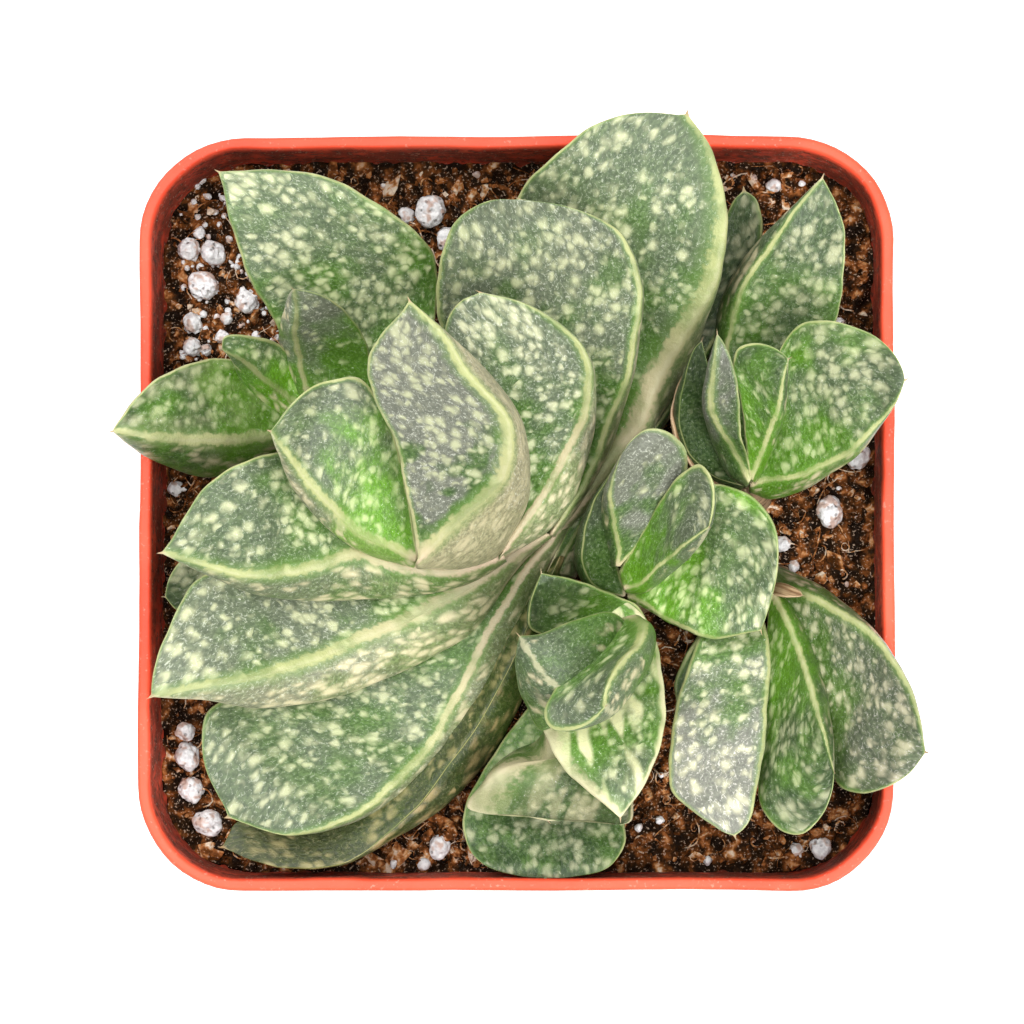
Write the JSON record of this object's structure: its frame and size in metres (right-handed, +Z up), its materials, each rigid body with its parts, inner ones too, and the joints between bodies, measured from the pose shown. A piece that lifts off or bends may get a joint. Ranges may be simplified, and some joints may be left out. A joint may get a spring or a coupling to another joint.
{
  "type": "potted gasteria",
  "caption": "Succulent with thick, keeled, pale-spotted leaves in rosettes, growing in bark mix in a square nursery pot with a collared rim.",
  "frame": {"origin": "centre of the flat underside of the pot", "axes": "+Z up through the pot, X and Y square to the pot's sides, with the tallest leaf leaning towards +Y"},
  "size_m": [0.0958, 0.0913, 0.1142],
  "materials": {
    "pot_plastic": "satin coral-red thin plastic",
    "potting_mix": "moist bark mix with perlite",
    "leaf_flesh": "waxy spotted leaf",
    "stem_skin": "dry ringed stem",
    "dry_bract": "papery tan"
  },
  "bodies": {
    "root": {"east_leaf_1": "leaf_flesh", "east_leaf_2": "leaf_flesh", "east_leaf_3": "leaf_flesh", "east_leaf_4": "leaf_flesh", "east_stem": "stem_skin", "main_leaf_1": "leaf_flesh", "main_leaf_10": "leaf_flesh", "main_leaf_2": "leaf_flesh", "main_leaf_3": "leaf_flesh", "main_leaf_4": "leaf_flesh", "main_leaf_5": "leaf_flesh", "main_leaf_6": "leaf_flesh", "main_leaf_7": "leaf_flesh", "main_leaf_8": "leaf_flesh", "main_leaf_9": "leaf_flesh", "main_stem": "stem_skin", "northeast_dried_bract": "dry_bract", "northeast_leaf_1": "leaf_flesh", "northeast_leaf_2": "leaf_flesh", "northeast_leaf_3": "leaf_flesh", "northeast_leaf_4": "leaf_flesh", "northeast_leaf_5": "leaf_flesh", "northeast_stem": "stem_skin", "northwest_leaf_1": "leaf_flesh", "northwest_leaf_2": "leaf_flesh", "northwest_leaf_3": "leaf_flesh", "northwest_leaf_4": "leaf_flesh", "northwest_leaf_5": "leaf_flesh", "northwest_stem": "stem_skin", "pot": "pot_plastic", "soil": "potting_mix", "south_leaf_1": "leaf_flesh", "south_leaf_2": "leaf_flesh", "south_leaf_3": "leaf_flesh", "south_leaf_4": "leaf_flesh", "south_leaf_5": "leaf_flesh", "south_leaf_6": "leaf_flesh", "south_stem": "stem_skin", "southeast_dried_bract": "dry_bract", "southeast_leaf_1": "leaf_flesh", "southeast_leaf_2": "leaf_flesh", "southeast_leaf_3": "leaf_flesh", "southeast_leaf_4": "leaf_flesh", "southeast_stem": "stem_skin"}
  },
  "joints": []
}
